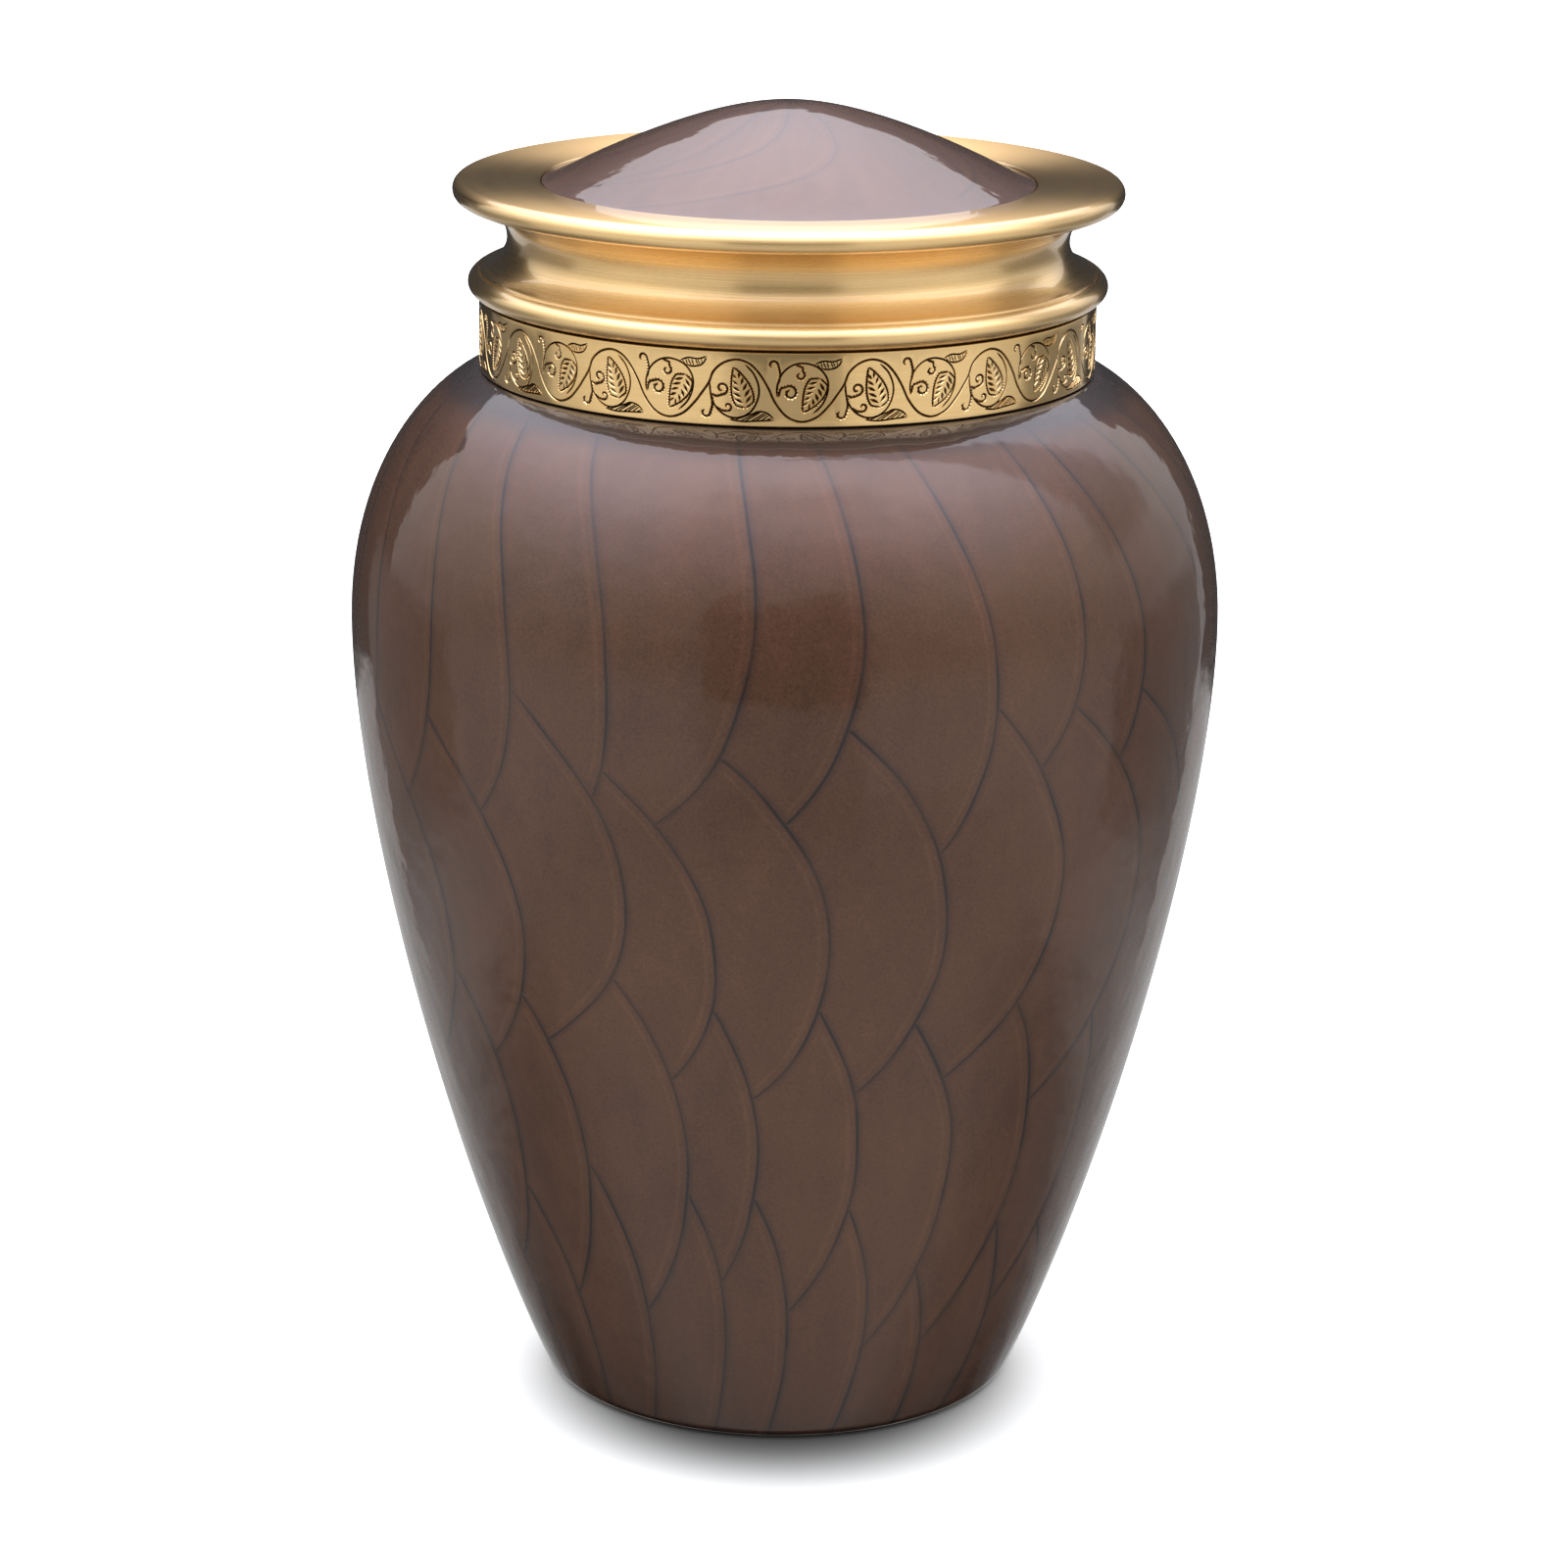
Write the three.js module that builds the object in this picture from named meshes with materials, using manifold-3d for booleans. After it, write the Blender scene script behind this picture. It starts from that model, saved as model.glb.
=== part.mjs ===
// A covered urn for ashes: a hollow brass vessel under pearl enamel, with a bare brass band
// engraved with a scrolling vine around its neck, and a lift-off lid, a moulded brass ring
// that carries an enamelled dome.
// Millimetres, +Z up. The origin is the centre of the flat that the urn stands on.
import * as THREE from "three";
import { mergeVertices } from "three/addons/utils/BufferGeometryUtils.js";
import Module from "manifold-3d";

// Driving dimensions of the vessel.
const FOOT_RADIUS = 44.75; // edge of the flat underside
const FOOT_ROUND = 5; // rounding between the underside and the wall
const FLARE_DEG = 24.35; // lean of the wall, from upright, where it leaves the foot
const BELLY_RADIUS = 87.5;
const BELLY_HEIGHT = 160.7;
const SHOULDER_HEIGHT = 211.1; // the ledge that the band stands on
const LEDGE_PROUD = 0.4; // how far the ledge runs out past the band
const SHOULDER_RISE_DEG = 22; // lean of the shoulder, from level, where it meets the ledge
const VESSEL_WALL = 1.3;

// The wall's curve: how hard each end pulls it, as shares of the stretch that it spans.
const FOOT_PULL = 0.26;
const BELLY_PULL_DOWN = 0.28;
const BELLY_PULL_UP = 0.565;
const SHOULDER_PULL = 0.45;

// The engraved band, and the neck that it is fitted round.
const BAND_RADIUS = 61.45;
const BAND_WALL = 2.35;
const BAND_HEIGHT = 14.2;
const FIT_GAP = 0.3; // between pieces that touch
const NECK_WALL = 1.6;

// The lid's ring, from its seat on the band upwards.
const SPIGOT_CLEARANCE = 0.4;
const SPIGOT_WALL = 1.5;
const SPIGOT_DEPTH = 13;
const BEAD_HEIGHT = 5.2;
const BEAD_OVERHANG = 2.2; // past the band's face
const BEAD_BULGE = 3.4; // of the bead past its own centre
const BEAD_ENDS_DEG = 78; // how far round its upper side it goes, above level
const ARRIS_OUT = 0.7; // the small arris between bead and cove, outside the bead's centre
const ARRIS_RISE = 0.1; // and above the bead's crown
const COVE_DEPTH = 5.6; // inwards of the band's face
const COVE_WAIST = 6.05; // height of the narrowest place above the arris
const COVE_LIP = 7.55; // height from there to the flange's underside
const FLANGE_OVERHANG = 5.15;
const FLANGE_THICKNESS = 4.35;
const FLANGE_WIDTH = 17.4; // across its top, from the dome to its outermost edge
const FLANGE_DISH = 0.55; // how far its top falls towards the dome

// The cove's curve: how hard its ends and its waist pull it, as shares of its stretches.
const COVE_FOOT_PULL = 0.4;
const COVE_FOOT_LIFT = 0.07;
const COVE_WAIST_PULL = 0.55;
const COVE_LIP_PULL = 0.6;

// The dome, an enamelled cap that stands in a rebate in the flange.
const REBATE_DEPTH = 1.6;
const REBATE_WIDTH = 2.7;
const DOME_WALL = 1.3;
const DOME_RISE = 15.9; // from its foot to its crown
const DOME_CROWN_PULL = 0.4; // shares of the dome's radius
const DOME_FOOT_PULL = 0.07;
const DOME_FOOT_RISE = 0.5;

// The engraving: scrolls that stand alternately upright and upside down.
const SCROLL_COUNT = 30;
const FIRST_SCROLL_DEG = -3.2; // where the first upright scroll stands, from +X
const ENGRAVING_DEPTH = 0.45;
const ENGRAVING_HEIGHT = 11.6;
const LINE_WIDTH = 0.6;
const RING_GAP = 3.2; // between one scroll's ring and the next
const STEM_LEAVES_DEG = 45; // where on its ring a stem starts
const STEM_CLEAR = 0.15; // left standing between a stem and a ring
const LEAF_LENGTH = 7.2;
const LEAF_WIDTH = 4;
const LEAF_RIB = 0.3;
const LEAF_SAG = 0.1; // how far below its middle a leaf is widest, as a share of its length
const LEAF_OFFSET = 0.24; // of the leaf from its ring's centre, as a share of the ring

// How finely the round surfaces are cut.
const SIDES = 36;
const FACETS_PER_SCROLL = 2;
const WALL_STEPS = 7;
const SHOULDER_STEPS = 6;
const INNER_WALL_STEPS = 5;
const INNER_SHOULDER_STEPS = 4;
const FOOT_STEPS = 2;
const ROUND_STEPS = 4;
const COVE_STEPS = 3;
const DOME_STEPS = 6;
const DOME_HOLLOW_STEPS = 3;
const RING_STEPS = 8;

// Sizes that follow from those above.
const HAIR = 1e-4; // points nearer than this are one
const degrees = THREE.MathUtils.degToRad;
const neckRadius = BAND_RADIUS - BAND_WALL - FIT_GAP;
const mouthRadius = neckRadius - NECK_WALL;
const spigotRadius = mouthRadius - SPIGOT_CLEARANCE;
const boreRadius = spigotRadius - SPIGOT_WALL;
const shoulderEdge = BAND_RADIUS + LEDGE_PROUD;
const bandBottom = SHOULDER_HEIGHT + FIT_GAP;
const bandTop = bandBottom + BAND_HEIGHT;
const seatHeight = bandTop + FIT_GAP;
const beadCentreRadius = BAND_RADIUS + BEAD_OVERHANG - BEAD_BULGE;
const beadCentreHeight = seatHeight + BEAD_HEIGHT / 2;
const arrisRadius = beadCentreRadius + ARRIS_OUT;
const arrisHeight = seatHeight + BEAD_HEIGHT + ARRIS_RISE;
const waistRadius = BAND_RADIUS - COVE_DEPTH;
const waistHeight = arrisHeight + COVE_WAIST;
const flangeUnderside = waistHeight + COVE_LIP;
const flangeTop = flangeUnderside + FLANGE_THICKNESS;
const flangeRadius = BAND_RADIUS + FLANGE_OVERHANG;
const flangeEdgeRadius = flangeRadius - FLANGE_THICKNESS / 2;
const rebateRadius = flangeRadius - FLANGE_WIDTH;
const rebateTop = flangeTop - FLANGE_DISH;
const rebateFloor = rebateTop - REBATE_DEPTH;
const domeRadius = rebateRadius - FIT_GAP;
const domeFoot = rebateTop - FIT_GAP;

const point = (radius, height) => new THREE.Vector2(radius, height);

// A round arc about (radius, height), from one angle to another, in degrees.
function arc(radius, height, across, up, from, to, steps) {
  const points = [];
  for (let i = 0; i <= steps; i += 1) {
    const angle = degrees(from + ((to - from) * i) / steps);
    points.push(point(radius + across * Math.cos(angle), height + up * Math.sin(angle)));
  }
  return points;
}

function bezier(start, pullStart, pullEnd, end, steps) {
  return new THREE.CubicBezierCurve(start, pullStart, pullEnd, end).getPoints(steps);
}

// Turns a profile, a list of points that closes on itself or starts and ends on the axis.
function turned(profile, sides = SIDES) {
  const closed = profile[0].x > 0 ? [...profile, profile[0].clone()] : profile;
  const geometry = new THREE.LatheGeometry(closed, sides);
  geometry.rotateX(Math.PI / 2);
  geometry.deleteAttribute("normal");
  geometry.deleteAttribute("uv");
  return mergeVertices(geometry, HAIR);
}

// The vessel's outer face, from the edge of the underside to the ledge under the band.
function vesselFace(wallSteps, shoulderSteps) {
  const foot = arc(
    FOOT_RADIUS, FOOT_ROUND, FOOT_ROUND, FOOT_ROUND, -90, -FLARE_DEG, FOOT_STEPS,
  );
  const start = foot[foot.length - 1];
  const belly = point(BELLY_RADIUS, BELLY_HEIGHT);
  const ledge = point(shoulderEdge, SHOULDER_HEIGHT);
  const climb = BELLY_HEIGHT - start.y;
  const rise = SHOULDER_HEIGHT - BELLY_HEIGHT;
  const reach = SHOULDER_PULL * (BELLY_RADIUS - shoulderEdge);
  const lower = bezier(
    start,
    point(
      start.x + FOOT_PULL * climb * Math.sin(degrees(FLARE_DEG)),
      start.y + FOOT_PULL * climb * Math.cos(degrees(FLARE_DEG)),
    ),
    point(BELLY_RADIUS, BELLY_HEIGHT - BELLY_PULL_DOWN * climb),
    belly,
    wallSteps,
  );
  const upper = bezier(
    belly,
    point(BELLY_RADIUS, BELLY_HEIGHT + BELLY_PULL_UP * rise),
    point(
      shoulderEdge + reach,
      SHOULDER_HEIGHT - reach * Math.tan(degrees(SHOULDER_RISE_DEG)),
    ),
    ledge,
    shoulderSteps,
  );
  return [...foot, ...lower.slice(1), ...upper.slice(1)];
}

// An outline moved inwards by a wall's thickness, square to its own run.
function moveInwards(outline, thickness) {
  return outline.map((at, i) => {
    const before = outline[Math.max(i - 1, 0)];
    const after = outline[Math.min(i + 1, outline.length - 1)];
    const run = i === 0 ? point(1, 0) : after.clone().sub(before).normalize();
    return point(at.x - run.y * thickness, at.y + run.x * thickness);
  });
}

function vesselGeometry() {
  const inside = moveInwards(
    vesselFace(INNER_WALL_STEPS, INNER_SHOULDER_STEPS),
    VESSEL_WALL,
  ).filter((at) => at.y < SHOULDER_HEIGHT - VESSEL_WALL);
  return turned([
    point(0, 0),
    ...vesselFace(WALL_STEPS, SHOULDER_STEPS),
    point(neckRadius, SHOULDER_HEIGHT),
    point(neckRadius, bandTop),
    point(mouthRadius, bandTop),
    point(mouthRadius, SHOULDER_HEIGHT - VESSEL_WALL),
    ...inside.reverse(),
    point(0, VESSEL_WALL),
  ]);
}

function bandBlank() {
  const inner = BAND_RADIUS - BAND_WALL;
  return turned([
    point(inner, bandBottom),
    point(BAND_RADIUS, bandBottom),
    point(BAND_RADIUS, bandTop),
    point(inner, bandTop),
  ], SCROLL_COUNT * FACETS_PER_SCROLL);
}

// The lid's moulding, from the bead over the cove to the edge of the flange's top.
function lidMoulding() {
  const half = FLANGE_THICKNESS / 2;
  const arris = point(arrisRadius, arrisHeight);
  const waist = point(waistRadius, waistHeight);
  const lip = point(flangeEdgeRadius, flangeUnderside);
  const bead = arc(
    beadCentreRadius, beadCentreHeight, BEAD_BULGE, BEAD_HEIGHT / 2,
    -90, BEAD_ENDS_DEG, ROUND_STEPS,
  );
  const coveFoot = bezier(
    arris,
    point(
      arrisRadius - (arrisRadius - waistRadius) * COVE_FOOT_PULL,
      arrisHeight + COVE_WAIST * COVE_FOOT_LIFT,
    ),
    point(waistRadius, waistHeight - COVE_WAIST * COVE_WAIST_PULL),
    waist,
    COVE_STEPS,
  );
  const coveHead = bezier(
    waist,
    point(waistRadius, waistHeight + COVE_LIP * COVE_WAIST_PULL),
    point(lip.x - (lip.x - waistRadius) * COVE_LIP_PULL, lip.y),
    lip,
    COVE_STEPS,
  );
  const edge = arc(
    flangeEdgeRadius, flangeTop - half, half, half, -90, 90, ROUND_STEPS,
  );
  return [...bead, ...coveFoot, ...coveHead.slice(1), ...edge.slice(1)];
}

function lidRingGeometry() {
  const spigotFoot = seatHeight - SPIGOT_DEPTH;
  const ledgeRadius = rebateRadius - REBATE_WIDTH;
  return turned([
    point(spigotRadius, seatHeight),
    ...lidMoulding(),
    point(rebateRadius, rebateTop),
    point(rebateRadius, rebateFloor),
    point(ledgeRadius, rebateFloor),
    point(ledgeRadius, flangeUnderside),
    point(boreRadius, flangeUnderside),
    point(boreRadius, spigotFoot),
    point(spigotRadius, spigotFoot),
  ]);
}

// The dome swells at its crown and flares out level at its foot.
function domeCurve(radius, foot, crown, steps) {
  return bezier(
    point(0, crown),
    point(DOME_CROWN_PULL * radius, crown),
    point(radius * (1 - DOME_FOOT_PULL), foot + DOME_FOOT_RISE),
    point(radius, foot),
    steps,
  );
}

function domeGeometry() {
  const crown = domeFoot + DOME_RISE;
  const underside = rebateFloor + FIT_GAP;
  const hollowRadius = domeRadius - REBATE_WIDTH;
  return turned([
    ...domeCurve(hollowRadius, underside, crown - DOME_WALL, DOME_HOLLOW_STEPS),
    point(domeRadius, underside),
    ...domeCurve(domeRadius, domeFoot, crown, DOME_STEPS).reverse(),
  ]);
}

// Engraved shapes, drawn flat: x runs round the band and y up it, from a scroll's centre.
const spacing = (2 * Math.PI * BAND_RADIUS) / SCROLL_COUNT;
const ringAcross = (spacing - RING_GAP) / 2;
const ringUp = ENGRAVING_HEIGHT / 2;

function stroke(centreLine, width) {
  const sides = [[], []];
  centreLine.forEach((at, i) => {
    const before = centreLine[Math.max(i - 1, 0)];
    const after = centreLine[Math.min(i + 1, centreLine.length - 1)];
    const run = after.clone().sub(before).normalize();
    sides[0].push(point(at.x - (run.y * width) / 2, at.y + (run.x * width) / 2));
    sides[1].unshift(point(at.x + (run.y * width) / 2, at.y - (run.x * width) / 2));
  });
  return new THREE.Shape([...sides[0], ...sides[1]]);
}

function ringShape() {
  const outline = (across, up) => arc(0, 0, across, up, 0, 360, RING_STEPS).slice(0, -1);
  const shape = new THREE.Shape(outline(ringAcross, ringUp));
  shape.holes.push(
    new THREE.Path(outline(ringAcross - LINE_WIDTH, ringUp - LINE_WIDTH)),
  );
  return shape;
}

// The stem from the shoulder of one ring to the foot of the next, just clear of both.
function stemShape() {
  const leave = degrees(STEM_LEAVES_DEG);
  const clear = LINE_WIDTH / 2 + STEM_CLEAR;
  const start = point(
    (ringAcross + clear) * Math.cos(leave),
    (ringUp + clear) * Math.sin(leave),
  );
  return stroke([start, point(spacing - start.x, -start.y)], LINE_WIDTH);
}

// Half a leaf, on one side of its midrib, which is left standing.
function leafHalfShape(side) {
  const outline = [
    point(LEAF_RIB / 2, LEAF_LENGTH / 2),
    point(LEAF_WIDTH / 2, -LEAF_LENGTH * LEAF_SAG),
    point(LEAF_RIB / 2, -LEAF_LENGTH / 2),
  ];
  return new THREE.Shape(
    outline.map((at) => point(at.x * side + ringAcross * LEAF_OFFSET, at.y)),
  );
}

function scrollShapes() {
  return [ringShape(), stemShape(), leafHalfShape(1), leafHalfShape(-1)];
}

// The place on the band's facets of a flat point that stands out from them by proud.
function onBand(x, y, proud) {
  const facetAngle = (2 * Math.PI) / (SCROLL_COUNT * FACETS_PER_SCROLL);
  const run = (x * FACETS_PER_SCROLL) / spacing;
  const facet = Math.floor(run + HAIR);
  const share = run - facet;
  const turn = (at, facets) => at.rotateAround(point(0, 0), facets * facetAngle);
  const place = turn(point(BAND_RADIUS, 0), facet);
  place.lerp(turn(point(BAND_RADIUS, 0), facet + 1), share);
  place.add(turn(point(proud, 0), share < HAIR ? facet : facet + 0.5));
  return new THREE.Vector3(place.x, place.y, bandBottom + BAND_HEIGHT / 2 + y);
}

// Lays a flat engraved shape on the band, upside down on every other scroll.
function engravingTool(shape, index) {
  const upsideDown = index % 2 === 1;
  const geometry = new THREE.ExtrudeGeometry(shape, {
    depth: ENGRAVING_DEPTH * 2,
    bevelEnabled: false,
  });
  const places = geometry.getAttribute("position");
  for (let i = 0; i < places.count; i += 1) {
    const x = places.getX(i) + index * spacing;
    const y = places.getY(i) * (upsideDown ? -1 : 1);
    const place = onBand(x, y, places.getZ(i) - ENGRAVING_DEPTH);
    places.setXYZ(i, place.x, place.y, place.z);
  }
  geometry.deleteAttribute("normal");
  geometry.deleteAttribute("uv");
  return { geometry: mergeVertices(geometry, HAIR), upsideDown };
}

const wasm = await Module();
wasm.setup();

function solidOf(geometry, insideOut = false) {
  const corners = Uint32Array.from(geometry.index.array);
  if (insideOut) corners.reverse();
  return new wasm.Manifold(
    new wasm.Mesh({
      numProp: 3,
      vertProperties: Float32Array.from(geometry.getAttribute("position").array),
      triVerts: corners,
    }),
  );
}

function geometryOf(solid) {
  const mesh = solid.getMesh();
  const geometry = new THREE.BufferGeometry();
  const places = new Float32Array(mesh.numVert * 3);
  for (let i = 0; i < mesh.numVert; i += 1) {
    const first = i * mesh.numProp;
    places.set(mesh.vertProperties.subarray(first, first + 3), i * 3);
  }
  geometry.setAttribute("position", new THREE.BufferAttribute(places, 3));
  geometry.setIndex(new THREE.BufferAttribute(Uint32Array.from(mesh.triVerts), 1));
  return geometry;
}

function bandGeometry() {
  let band = solidOf(bandBlank());
  for (let index = 0; index < SCROLL_COUNT; index += 1) {
    for (const shape of scrollShapes()) {
      const { geometry, upsideDown } = engravingTool(shape, index);
      band = band.subtract(solidOf(geometry, upsideDown));
    }
  }
  return geometryOf(band).rotateZ(degrees(FIRST_SCROLL_DEG));
}

const pearlEnamel = new THREE.MeshStandardMaterial({
  color: 0x5b4a44, roughness: 0.12, metalness: 0.35,
});
const satinBrass = new THREE.MeshStandardMaterial({
  color: 0xc9a25c, roughness: 0.32, metalness: 1,
});

function piece(name, geometry, material) {
  const mesh = new THREE.Mesh(geometry, material);
  mesh.name = name;
  geometry.computeVertexNormals();
  return mesh;
}

const vessel = new THREE.Group();
vessel.add(
  piece("vessel", vesselGeometry(), pearlEnamel),
  piece("engraved_band", bandGeometry(), satinBrass),
);

const lid = new THREE.Group();
lid.add(
  piece("lid_ring", lidRingGeometry(), satinBrass),
  piece("lid_dome", domeGeometry(), pearlEnamel),
);

const urn = new THREE.Group();
urn.add(vessel, lid);

export default urn;
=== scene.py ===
import math

import bmesh
import bpy
from mathutils import Matrix, Vector
from mathutils.geometry import interpolate_bezier


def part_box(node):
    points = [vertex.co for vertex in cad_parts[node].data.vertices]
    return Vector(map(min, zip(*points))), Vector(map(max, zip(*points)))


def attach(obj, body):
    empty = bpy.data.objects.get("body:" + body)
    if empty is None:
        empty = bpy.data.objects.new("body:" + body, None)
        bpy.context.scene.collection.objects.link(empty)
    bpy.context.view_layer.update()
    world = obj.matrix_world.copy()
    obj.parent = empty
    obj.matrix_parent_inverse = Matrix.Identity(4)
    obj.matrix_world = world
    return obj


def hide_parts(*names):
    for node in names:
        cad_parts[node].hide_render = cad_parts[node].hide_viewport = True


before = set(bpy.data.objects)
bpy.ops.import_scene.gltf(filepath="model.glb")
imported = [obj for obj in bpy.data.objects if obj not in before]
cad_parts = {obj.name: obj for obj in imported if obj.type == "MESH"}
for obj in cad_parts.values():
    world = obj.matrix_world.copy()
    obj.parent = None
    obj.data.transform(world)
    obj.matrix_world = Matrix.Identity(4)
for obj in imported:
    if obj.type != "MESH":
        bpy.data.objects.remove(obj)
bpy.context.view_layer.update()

MM = 0.001
TAU = 2 * math.pi

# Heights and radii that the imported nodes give.
vessel_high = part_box("vessel")[1]
band_low, band_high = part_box("engraved_band")
ring_low, ring_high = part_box("lid_ring")
dome_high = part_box("lid_dome")[1]

# The band, the neck inside it and the gap between two pieces.
GAP = 0.3 * MM
BAND_RADIUS = 61.45 * MM
BAND_WALL = 2.35 * MM
NECK_WALL = 1.6 * MM
BAND_MIDDLE = (band_low[2] + band_high[2]) / 2
BAND_HEIGHT = band_high[2] - band_low[2]
SHOULDER_HEIGHT = band_low[2] - GAP
SEAT_HEIGHT = band_high[2] + GAP
NECK_RADIUS = BAND_RADIUS - BAND_WALL - GAP
MOUTH_RADIUS = NECK_RADIUS - NECK_WALL

# How finely the turned pieces are cut, and from what bend on an edge looks sharp.
TURNS = 192
CURVE_STEPS = 28
COVE_STEPS = 18
MOULDING_STEPS = 22
POINTS_MEET = 1e-6
SHARP_DEG = 35
CORNER_PULL = 0.45


def profile_point(radius, height):
    return Vector((radius, 0, height))


def pulled(start, pull_start, pull_end, end, steps=CURVE_STEPS):
    return interpolate_bezier(start, pull_start, pull_end, end, steps)


def arc(radius, height, across, up, first, last, steps=10):
    """Points of an arc about (radius, height); the angles are in degrees above level."""
    points = []
    for i in range(steps + 1):
        angle = math.radians(first + (last - first) * i / steps)
        at = profile_point(radius + across * math.cos(angle), height + up * math.sin(angle))
        points.append(at)
    return points


def rounded(corner, before, after, size, steps=3):
    """A corner of a profile, rounded off by about size."""
    start = corner + (before - corner).normalized() * size
    end = corner + (after - corner).normalized() * size
    pulls = corner.lerp(start, CORNER_PULL), corner.lerp(end, CORNER_PULL)
    return interpolate_bezier(start, *pulls, end, steps + 1)


def turned(name, profile, closed):
    """Spins a profile round the axis. A closed one makes a ring, and others end on the axis."""
    shape = bmesh.new()
    corners = [shape.verts.new(at) for at in profile]
    edges = [shape.edges.new(pair) for pair in zip(corners, corners[1:])]
    if closed:
        edges.append(shape.edges.new((corners[-1], corners[0])))
    bmesh.ops.spin(
        shape, geom=corners + edges, cent=(0, 0, 0), axis=(0, 0, 1), angle=TAU, steps=TURNS,
        use_merge=True,
    )
    bmesh.ops.remove_doubles(shape, verts=shape.verts, dist=POINTS_MEET)
    bmesh.ops.recalc_face_normals(shape, faces=shape.faces)
    return finished(name, shape)


def finished(name, shape, sharp_deg=SHARP_DEG):
    """The shape as an object, smooth except along its sharp edges."""
    mesh = bpy.data.meshes.new(name)
    shape.to_mesh(mesh)
    shape.free()
    mesh.shade_smooth()
    mesh.set_sharp_from_angle(angle=math.radians(sharp_deg))
    piece = bpy.data.objects.new(name, mesh)
    bpy.context.scene.collection.objects.link(piece)
    return piece


# The vessel: foot, wall and shoulder outside, the same moved inwards, and the neck.
FOOT_RADIUS = 44.75 * MM
FOOT_ROUND = 5 * MM
FLARE = math.radians(24.35)
BELLY_RADIUS = vessel_high[0]
BELLY_HEIGHT = 160.7 * MM
VESSEL_WALL = 1.3 * MM
LEDGE_PROUD = 0.4 * MM
SHOULDER_SLOPE = math.radians(22)
# How far each curve is pulled at its ends, as shares of the climb, the rise and the reach inwards.
FOOT_PULL = 0.26
BELLY_PULL_DOWN = 0.28
BELLY_PULL_UP = 0.565
LEDGE_PULL = 0.45


def vessel_face():
    """The outside of the vessel, from the flat underside to the ledge that the band stands on."""
    foot = arc(FOOT_RADIUS, FOOT_ROUND, FOOT_ROUND, FOOT_ROUND, -90, -math.degrees(FLARE))
    start = foot[-1]
    belly = profile_point(BELLY_RADIUS, BELLY_HEIGHT)
    ledge = profile_point(BAND_RADIUS + LEDGE_PROUD, SHOULDER_HEIGHT)
    climb = BELLY_HEIGHT - start.z
    rise = SHOULDER_HEIGHT - BELLY_HEIGHT
    reach = LEDGE_PULL * (belly.x - ledge.x)
    lower = pulled(
        start,
        start + profile_point(math.sin(FLARE), math.cos(FLARE)) * FOOT_PULL * climb,
        profile_point(BELLY_RADIUS, BELLY_HEIGHT - BELLY_PULL_DOWN * climb),
        belly,
        2 * CURVE_STEPS,
    )
    upper = pulled(
        belly,
        profile_point(BELLY_RADIUS, BELLY_HEIGHT + BELLY_PULL_UP * rise),
        profile_point(ledge.x + reach, ledge.z - reach * math.tan(SHOULDER_SLOPE)),
        ledge,
    )
    return foot + lower[1:] + upper[1:]


def moved_inwards(outline, thickness):
    """The outline moved square to itself by the wall's thickness."""
    moved = []
    for i, at in enumerate(outline):
        run = outline[min(i + 1, len(outline) - 1)] - outline[max(i - 1, 0)]
        run = Vector((1, 0, 0)) if i == 0 else run.normalized()
        moved.append(at + Vector((-run.z, 0, run.x)) * thickness)
    return moved


def make_vessel():
    face = vessel_face()
    inside = [at for at in moved_inwards(face, VESSEL_WALL) if at.z < SHOULDER_HEIGHT - VESSEL_WALL]
    profile = [profile_point(0, 0)]
    profile += face
    profile += [
        profile_point(NECK_RADIUS, SHOULDER_HEIGHT),
        profile_point(NECK_RADIUS, band_high[2]),
        profile_point(MOUTH_RADIUS, band_high[2]),
        profile_point(MOUTH_RADIUS, SHOULDER_HEIGHT - VESSEL_WALL),
    ]
    profile += inside[::-1]
    profile += [profile_point(0, VESSEL_WALL)]
    return turned("vessel_wall", profile, closed=False)


# The lid's ring, from the spigot over the bead, cove and flange to the dome's rebate.
BEAD_BULGE = 3.4 * MM
BEAD_HALF_HEIGHT = 2.6 * MM
BEAD_CENTRE = profile_point(BAND_RADIUS - 1.2 * MM, SEAT_HEIGHT + BEAD_HALF_HEIGHT)
BEAD_LAST_DEG = 62
ARRIS = profile_point(BEAD_CENTRE.x + 0.7 * MM, SEAT_HEIGHT + 5.3 * MM)
WAIST = profile_point(BAND_RADIUS - 5.6 * MM, ARRIS.z + 6.05 * MM)
FLANGE_THICKNESS = 4.35 * MM
FLANGE_RADIUS = ring_high[0]
LIP = profile_point(FLANGE_RADIUS - FLANGE_THICKNESS / 2, ring_high[2] - FLANGE_THICKNESS)
REBATE_RADIUS = FLANGE_RADIUS - 17.4 * MM
REBATE_TOP = ring_high[2] - 0.55 * MM
REBATE_FLOOR = REBATE_TOP - 1.6 * MM
REBATE_WIDTH = 2.7 * MM
REBATE_ROUND = 0.35 * MM
SPIGOT_PLAY = 0.4 * MM
SPIGOT_WALL = 1.5 * MM
SPIGOT_RADIUS = MOUTH_RADIUS - SPIGOT_PLAY
BORE_RADIUS = SPIGOT_RADIUS - SPIGOT_WALL
# The cove's pulls: along the foot and the head as shares of their runs, and up and down its waist.
COVE_FOOT_PULL = 0.4
COVE_HEAD_PULL = 0.6
WAIST_PULL = 0.55


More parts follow.
